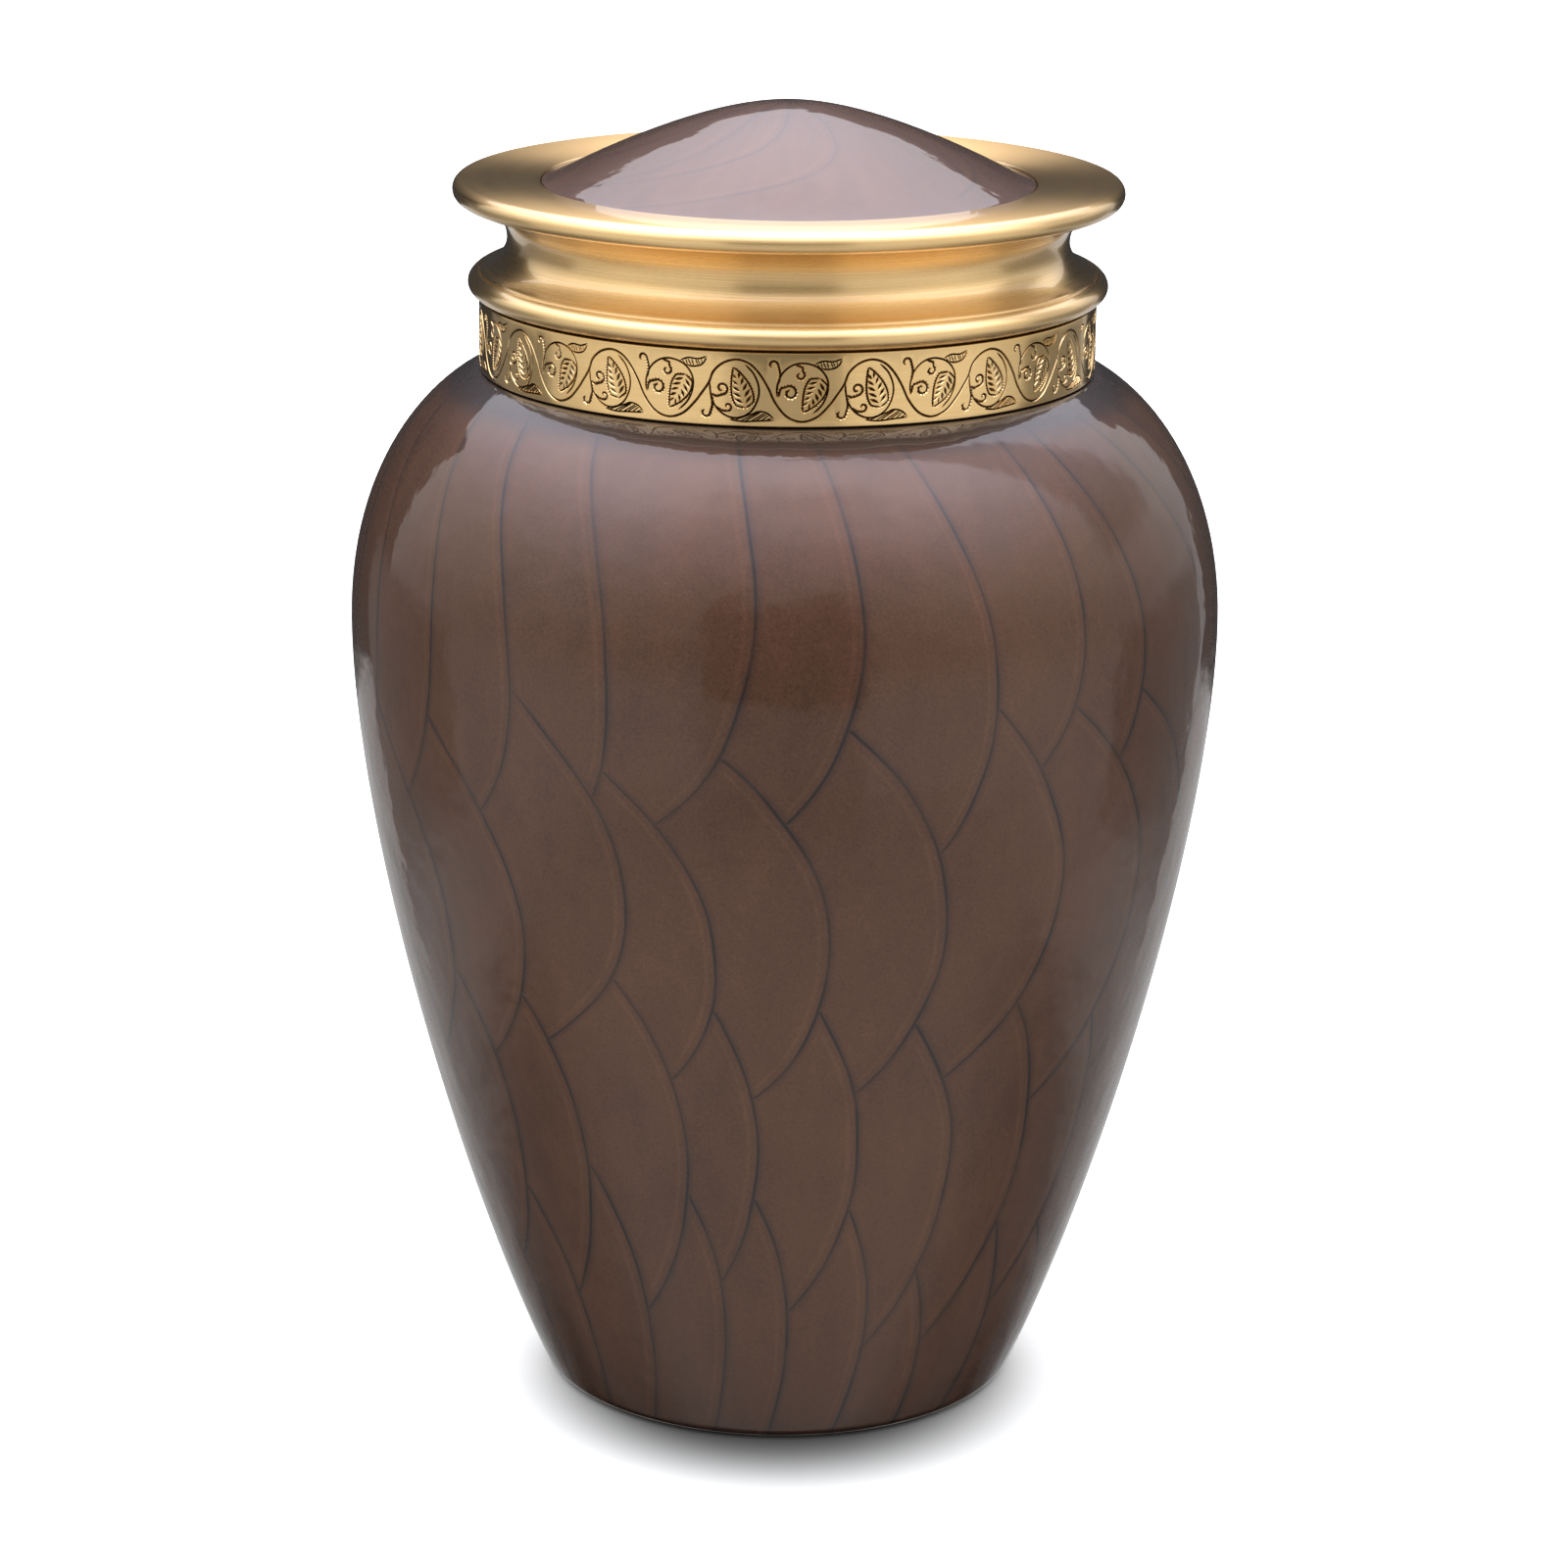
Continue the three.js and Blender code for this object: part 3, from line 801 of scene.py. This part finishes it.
def pearl_enamel(name, on_dome):
    """Brown pearl paint in overlapping strokes with dark edges, under clear gloss."""
    material = bpy.data.materials.new(name)
    w = Wiring(material)
    place = w.place()
    x, y, z = w.axes(place)
    radius = w.from_axis(x, y)
    turn = w.over(w.maths("ARCTAN2", x, w.times(y, -1.0)), TAU)
    count = DOME_STROKES if on_dome else STROKES_ROUND
    rows = DOME_ROWS if on_dome else STROKE_ROWS
    height = w.times(radius, -1.0 / MM) if on_dome else w.times(z, 1.0 / MM)
    drift = w.less(w.noise(place, DRIFT_FINE, 0.0), 0.5)
    waver = w.less(w.noise(place, WAVER_FINE, 0.0), 0.5)
    wander = w.add(w.times(drift, DRIFT), w.times(waver, WAVER))
    around = w.add(w.times(turn, float(count)), wander)
    drift_up = w.less(w.noise(place, DRIFT_UP_FINE, 0.0), 0.5)
    height = w.add(height, w.times(drift_up, DRIFT_UP_MM))
    across = w.times(radius, TAU / count / MM)
    dark, light = stroke_edges(w, around, height, across, rows, count)
    bold = w.ramp(w.noise(place, BOLD_FINE, 1.0), 0.35, 0.65, 0.65, 1.0)
    # The pearl is streaked up the strokes, clouded in patches and finely grained.
    along = w.vector(w.over(x, radius), w.over(y, radius), w.times(height, STREAK_RISE))
    streaks = w.noise(along, STREAKS_ROUND, 3.0, 0.55)
    cloud = w.ramp(w.noise(place, CLOUD_FINE, 2.0), 0.3, 0.7)
    grain = w.noise(place, GRAIN_FINE, 2.0, 0.7)
    streaked = w.times(w.ramp(streaks, 0.25, 0.75), STREAK_SHARE)
    grained = w.times(w.less(grain, 0.5), GRAIN_SHARE)
    shade = w.add(EVEN_SHADE, w.add(w.times(cloud, CLOUD_SHARE), streaked))
    shade = w.add(shade, w.add(grained, w.times(light, LIP_SHARE)))
    paint = w.blend(w.held(shade, 0.0, 1.0), PEARL_DEEP, PEARL_LIGHT)
    lines = w.times(w.times(dark, bold), DOME_LINE_SHARE if on_dome else LINE_SHARE)
    paint = w.blend(lines, paint, PEARL_LINE_AND_SHADE)
    if not on_dome:
        # Painted shade under the band: the paint darkens towards the line colour at the foot of the
        # neck.
        neck_shade = w.ramp(z, NECK_SHADE_FROM, NECK_SHADE_TO, 0.0, 0.88)
        paint = w.blend(neck_shade, paint, PEARL_LINE_AND_SHADE)
    shader = w.node("ShaderNodeBsdfPrincipled")
    w.feed(shader.inputs["Base Color"], paint)
    shader.inputs["Metallic"].default_value = METAL_SHARE
    w.feed(shader.inputs["Roughness"], w.ramp(grain, 0.3, 0.7, 0.38, 0.52))
    shader.inputs["Coat Weight"].default_value = 1.0
    shader.inputs["Coat Roughness"].default_value = GLOSS_ROUGHNESS
    shader.inputs["Coat IOR"].default_value = GLOSS_IOR
    # The gloss isn't quite even, so mirrored edges look torn.
    flow = 0.0
    for fine, strength in RIPPLES:
        flow = w.add(flow, w.times(w.noise(place, fine, 1.0), strength))
    ripple = w.bump(flow, 0.7, RIPPLE_DEPTH)
    w.feed(shader.inputs["Coat Normal"], ripple)
    w.feed(shader.inputs["Normal"], ripple)
    out = w.node("ShaderNodeOutputMaterial")
    w.feed(out.inputs["Surface"], shader.outputs[0])
    return material


BRASS_LIGHT = (0.98, 0.68, 0.31, 1)
BRASS_DEEP = (0.92, 0.61, 0.25, 1)
BRASS_OLD = (0.055, 0.028, 0.012, 1)
# Least and greatest roughness along the brushing, on the carved band and on the lid's ring.
CARVED_SATIN = (0.15, 0.22)
LID_SATIN = (0.25, 0.33)
# The flange's flat top is brushed more coarsely.
COARSE_FROM = 247.8 * MM
COARSE_FULL = 248.8 * MM
COARSE_MORE = 0.12
BRUSH_DEPTH = 0.02 * MM
# How fine the brushing, the patches of colour and the tarnish's speckle are.
BRUSH_FINE = 2200.0
PATCH_FINE = 45.0
SPECKLE_FINE = 1500.0
LACQUER_ROUGHNESS = 0.02
# How little the brushing's place changes round the axis.
BRUSH_STRETCH = (0.009, 0.009, 0.007)
# The tarnish starts just under the band's face and is full a little deeper; it stays off the rest.
TARNISH_FULL = BAND_RADIUS - 0.2 * MM
TARNISH_START = BAND_RADIUS - 0.03 * MM
TARNISH_DEEPEST = BAND_RADIUS - 0.5 * MM


def satin_brass(name, engraved):
    """Brass brushed round the axis under clear lacquer, with dark tarnish in any carving."""
    material = bpy.data.materials.new(name)
    w = Wiring(material)
    place = w.place()
    x, y, z = w.axes(place)
    radius = w.from_axis(x, y)
    # A place that changes slowly round the axis, so that the brushing runs that way.
    round_place = w.vector(
        w.add(radius, w.times(x, BRUSH_STRETCH[0])),
        w.add(z, w.times(y, BRUSH_STRETCH[1])),
        w.times(w.less(x, y), BRUSH_STRETCH[2]),
    )
    brushing = w.noise(round_place, BRUSH_FINE, 3.0, 0.65)
    patches = w.noise(place, PATCH_FINE, 3.0, 0.6)
    mottle = w.add(w.times(w.ramp(patches, 0.3, 0.75), 0.5), w.ramp(brushing, 0.3, 0.7, 0.0, 0.5))
    colour = w.blend(mottle, BRASS_LIGHT, BRASS_DEEP)
    if engraved:
        sunk = w.ramp(radius, TARNISH_FULL, TARNISH_START, 1.0, 0.0)
        on_face = w.maths("GREATER_THAN", radius, TARNISH_DEEPEST)
        speckle = w.ramp(w.noise(place, SPECKLE_FINE, 2.0, 0.6), 0.25, 0.6, 0.8, 1.0)
        tarnish = w.times(w.times(sunk, on_face), speckle)
        colour = w.blend(w.times(tarnish, 0.93), colour, BRASS_OLD)
    shader = w.node("ShaderNodeBsdfPrincipled")
    w.feed(shader.inputs["Base Color"], colour)
    shader.inputs["Metallic"].default_value = 1.0
    coarse = w.ramp(z, COARSE_FROM, COARSE_FULL, 0.0, COARSE_MORE)
    fine = w.ramp(brushing, 0.25, 0.75, *(CARVED_SATIN if engraved else LID_SATIN))
    w.feed(shader.inputs["Roughness"], w.add(fine, coarse))
    shader.inputs["Anisotropic"].default_value = 0.88
    shader.inputs["Anisotropic Rotation"].default_value = 0.25
    tangent = w.node("ShaderNodeTangent", direction_type="RADIAL", axis="Z")
    w.feed(shader.inputs["Tangent"], tangent.outputs[0])
    shader.inputs["Coat Weight"].default_value = 0.5 if engraved else 1.0
    shader.inputs["Coat Roughness"].default_value = LACQUER_ROUGHNESS
    w.feed(shader.inputs["Normal"], w.bump(brushing, 0.1, BRUSH_DEPTH))
    out = w.node("ShaderNodeOutputMaterial")
    w.feed(out.inputs["Surface"], shader.outputs[0])
    return material


FLOOR_SIZE = 12
# The urn's soft shadow on the floor, partly cast and partly painted into the floor's colour. Its
# middle lies a little in front of the urn's axis.
SHADOW_AHEAD = 18 * MM
SHADOW_NARROWED = 1.3
SHADOW_INNER = 30 * MM
SHADOW_OUTER = 68 * MM
PAINTED_SHADOW_DARK = 0.12
FLOOR_PALE = 0.99


def floor_finish():
    material = bpy.data.materials.new("studio_floor")
    w = Wiring(material)
    x, y, _ = w.axes(w.place())
    forward = w.add(y, SHADOW_AHEAD)
    away = w.add(w.times(w.times(x, x), SHADOW_NARROWED), w.times(forward, forward))
    # Painted shadow: the floor's colour darkens towards the urn's foot.
    pale = w.ramp(w.maths("SQRT", away), SHADOW_INNER, SHADOW_OUTER, PAINTED_SHADOW_DARK, FLOOR_PALE)
    shader = w.node("ShaderNodeBsdfDiffuse")
    w.feed(shader.inputs["Color"], w.vector(w.times(pale, 0.985), pale, w.times(pale, 0.9)))
    out = w.node("ShaderNodeOutputMaterial")
    w.feed(out.inputs["Surface"], shader.outputs[0])
    return material


def make_floor():
    shape = bmesh.new()
    bmesh.ops.create_grid(shape, x_segments=1, y_segments=1, size=FLOOR_SIZE)
    floor = finished("floor", shape)
    floor.data.materials.append(floor_finish())
    floor.visible_glossy = False


# The light's colour, low down and overhead.
TENT_LOW = (0.8, 0.8, 0.8, 1)
TENT_HIGH = (0.785, 0.785, 0.9, 1)
# The tent's brightness by height, which runs from -1 straight down over 0 level to 1 straight up.
TENT_LEVELS = (
    (-1, 0.1), (-0.86, 0.135), (-0.7, 0.15), (-0.5, 0.135), (-0.25, 0.105), (0, 0.115),
    (0.17, 0.18), (0.34, 0.26), (0.5, 0.38), (0.64, 0.53), (0.77, 0.74), (0.87, 0.9), (1, 1),
)
TENT_STRENGTH = 5.6
# Shares by which the tent is dimmer in front, on the right and on the floor by the foot.
FRONT_DIMMED = 0.38
RIGHT_DIMMED = 0.55
FOOT_DIMMED = 0.72
# The opening behind: how far it is turned to the left, its soft edge and its top and bottom.
OPENING_TURN_DEG = 8
OPENING_EDGE_DEG = (41.5, 43)
OPENING_HEIGHTS = (-0.27, 0.44)
# Brightness of what stands out from the tent.
OPENING_LEVEL = 0.05
GAP_LEVEL = 0.25
WALL_LEVELS = (0.75, 1.05)
SLIT_LEVEL = 0.2
BACK_FLOOR_LEVEL = 0.7
UNDER_LEVELS = (0.03, 0.5)


def tent_level(w, height):
    """How bright the plain tent is at a height."""
    tent = w.node("ShaderNodeFloatCurve")
    w.feed(tent.inputs["Value"], w.add(w.times(height, 0.5), 0.5))
    curve = tent.mapping.curves[0]
    places = [((at + 1) / 2, level) for at, level in TENT_LEVELS]
    curve.points[0].location = places[0]
    curve.points[1].location = places[-1]
    for place in places[1:-1]:
        curve.points.new(*place)
    tent.mapping.update()
    return w.times(tent.outputs[0], TENT_STRENGTH)


def light_studio():
    """A soft tent of light, brightest overhead, with its opening low behind the urn.

    bearing and side are in degrees from straight behind the urn, and z is a height as above."""
    world = bpy.data.worlds.new("light_tent")
    bpy.context.scene.world = world
    w = Wiring(world)
    x, y, z = w.axes(w.node("ShaderNodeTexCoord").outputs["Generated"])
    bearing = w.times(w.maths("ARCTAN2", x, y), 180 / math.pi)
    side = w.maths("ABSOLUTE", bearing)
    level = tent_level(w, z)
    front = w.times(w.ramp(side, 110, 165), w.ramp(z, 0.88, 0.99, FRONT_DIMMED, 0.0))
    front = w.times(front, w.ramp(z, -0.5, -0.4))
    level = w.times(level, w.less(1.0, front))
    right = w.times(w.within(bearing, 54, 80, 4), w.ramp(z, 0.15, 0.3))
    level = w.times(level, w.less(1.0, w.times(right, RIGHT_DIMMED)))
    # Behind, the tent is open from 16 degrees below level to 26 above it.
    turned_bearing = w.maths("ABSOLUTE", w.add(bearing, OPENING_TURN_DEG))
    open_side = w.ramp(turned_bearing, *OPENING_EDGE_DEG, 1.0, 0.0)
    opening = w.times(open_side, w.within(z, *OPENING_HEIGHTS, 0.01))
    level = w.toward(level, OPENING_LEVEL, opening)
    # Low down there are dark gaps beside it, white walls further round and a slit for the lens.
    gaps = w.times(w.within(z, -0.42, -0.06, 0.05), w.within(side, 39, 84, 1))
    level = w.toward(level, GAP_LEVEL, gaps)
    walls = w.times(w.ramp(z, -0.5, -0.38), w.ramp(z, -0.22, 0.12, 1.0, 0.0))
    walls = w.times(walls, w.ramp(side, 79, 85))
    level = w.toward(level, w.ramp(side, 86, 110, *WALL_LEVELS), walls)
    slit = w.times(w.ramp(z, -0.24, -0.14, 0.4, 1.0), w.within(z, -0.5, 0.36, 0.08))
    level = w.toward(level, SLIT_LEVEL, w.times(slit, w.ramp(side, 155, 163)))
    # The floor is pale behind the urn, dark under it and dimmer by its foot.
    back_floor = w.times(w.within(z, -0.42, -0.27, 0.02), w.ramp(side, 38, 40, 1.0, 0.0))
    level = w.toward(level, BACK_FLOOR_LEVEL, back_floor)
    under = w.times(w.ramp(z, -0.5, -0.42, 1.0, 0.0), w.ramp(side, 45, 75, 1.0, 0.0))
    level = w.toward(level, w.ramp(z, -0.68, -0.6, *UNDER_LEVELS), under)
    by_foot = w.times(w.ramp(side, 80, 130, FOOT_DIMMED, 0.0), w.ramp(z, -0.6, -0.5, 1.0, 0.0))
    strength = w.times(level, w.less(1.0, by_foot))
    background = w.node("ShaderNodeBackground")
    w.feed(background.inputs["Strength"], strength)
    w.feed(background.inputs["Color"], w.blend(w.ramp(z, 0.3, 0.6), TENT_LOW, TENT_HIGH))
    out = w.node("ShaderNodeOutputWorld")
    w.feed(out.inputs["Surface"], background.outputs[0])


# Where the photograph was taken from: just above the lid, looking down.
CAMERA_BACK = 1.0004
CAMERA_HEIGHT = 0.4086
CAMERA_DOWN = math.radians(15.87)
CAMERA_ROLL = math.radians(0.57)
CAMERA_ASIDE = 0.0002
LENS_MM = 116.7
SENSOR_MM = 36
NEAR = 0.01


def make_camera():
    """A long lens at the photograph's distance and tilt."""
    data = bpy.data.cameras.new("camera")
    data.sensor_width = SENSOR_MM
    data.lens = LENS_MM
    data.clip_start = NEAR
    camera = bpy.data.objects.new("camera", data)
    bpy.context.scene.collection.objects.link(camera)
    camera.matrix_world = (
        Matrix.Translation((CAMERA_ASIDE, -CAMERA_BACK, CAMERA_HEIGHT))
        @ Matrix.Rotation(math.pi / 2 - CAMERA_DOWN, 4, "X")
        @ Matrix.Rotation(CAMERA_ROLL, 4, "Z")
    )
    bpy.context.scene.camera = camera


make_camera()
light_studio()
make_floor()
bpy.context.scene.view_settings.view_transform = "Standard"

brass = satin_brass("satin_brass", engraved=False)
carved_brass = satin_brass("carved_brass", engraved=True)
pieces = (
    (make_vessel(), "vessel", "pearl_enamel", pearl_enamel("pearl_enamel", False)),
    (make_band(), "engraved_band", "satin_brass", carved_brass),
    (make_lid_ring(), "lid_ring", "satin_brass", brass),
    (make_dome(), "lid_dome", "pearl_enamel", pearl_enamel("pearl_enamel_dome", True)),
)
for piece, node, slot, finish in pieces:
    piece.data.materials.append(finish)
    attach(piece, "root")
    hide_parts(node)
